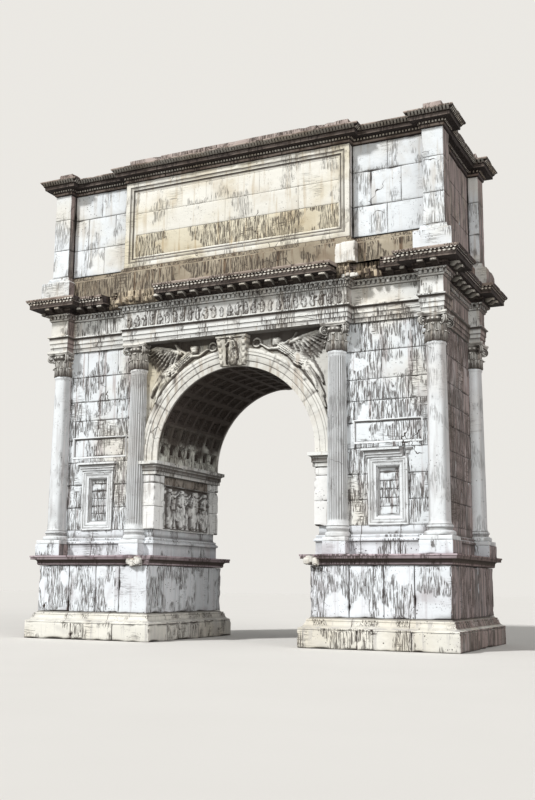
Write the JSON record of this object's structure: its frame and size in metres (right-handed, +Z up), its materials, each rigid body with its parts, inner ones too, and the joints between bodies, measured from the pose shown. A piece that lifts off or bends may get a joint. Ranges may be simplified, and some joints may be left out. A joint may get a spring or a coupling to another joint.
{
  "type": "triumphal arch",
  "caption": "Roman triumphal arch with coffered barrel vault, engaged Composite columns, an entablature that breaks forward over them, and an attic with a framed bare tablet on each face.",
  "frame": {"origin": "on the ground under the middle of the arch", "axes": "+X along the length, -Y towards the front face, +Z up"},
  "size_m": [14.7, 6.04, 15.545],
  "materials": {
    "plinth_stone": "rough, weathered, joints open",
    "podium_marble": "smooth blocks with dark streaks and pits",
    "wall_marble": "ashlar with fine joints, stained and pitted",
    "column_marble": "worn marble",
    "carved_marble": "carved marble with dark grime in its hollows",
    "vault_stone": "shaded, sooty",
    "entablature_marble": "worn marble",
    "cornice_stone": "dark brown crust with pale worn edges",
    "attic_marble": "ashlar blocks, ochre streaks at the base",
    "tablet_marble": "cream marble with ochre streaks"
  },
  "bodies": {
    "root": {"right_plinth": "plinth_stone", "left_plinth": "plinth_stone", "right_podium_base": "podium_marble", "left_podium_base": "podium_marble", "right_podium_dado": "podium_marble", "left_podium_dado": "podium_marble", "right_podium_cap": "podium_marble", "left_podium_cap": "podium_marble", "right_wall_base": "wall_marble", "left_wall_base": "wall_marble", "right_pier_wall": "wall_marble", "left_pier_wall": "wall_marble", "right_passage_wall": "wall_marble", "left_passage_wall": "wall_marble", "right_jamb_pilasters": "wall_marble", "left_jamb_pilasters": "wall_marble", "right_impost": "wall_marble", "left_impost": "wall_marble", "left_spandrel": "wall_marble", "right_spandrel": "wall_marble", "blind_windows": "wall_marble", "right_front_inner_shaft": "column_marble", "right_back_inner_shaft": "column_marble", "right_front_corner_shaft": "column_marble", "right_back_corner_shaft": "column_marble", "left_front_inner_shaft": "column_marble", "left_back_inner_shaft": "column_marble", "left_front_corner_shaft": "column_marble", "left_back_corner_shaft": "column_marble", "right_column_bases": "column_marble", "left_column_bases": "column_marble", "right_capitals": "carved_marble", "left_capitals": "carved_marble", "archivolts": "carved_marble", "keystones": "carved_marble", "right_relief_panel": "carved_marble", "left_relief_panel": "carved_marble", "vault_ring": "vault_stone", "coffer_lining": "vault_stone", "architrave": "entablature_marble", "frieze": "entablature_marble", "dentil_course": "cornice_stone", "modillion_cornice": "cornice_stone", "attic_cornice": "cornice_stone", "attic_base": "attic_marble", "attic_wall": "attic_marble", "blocking_course": "attic_marble", "tablets": "tablet_marble"}
  },
  "joints": []
}
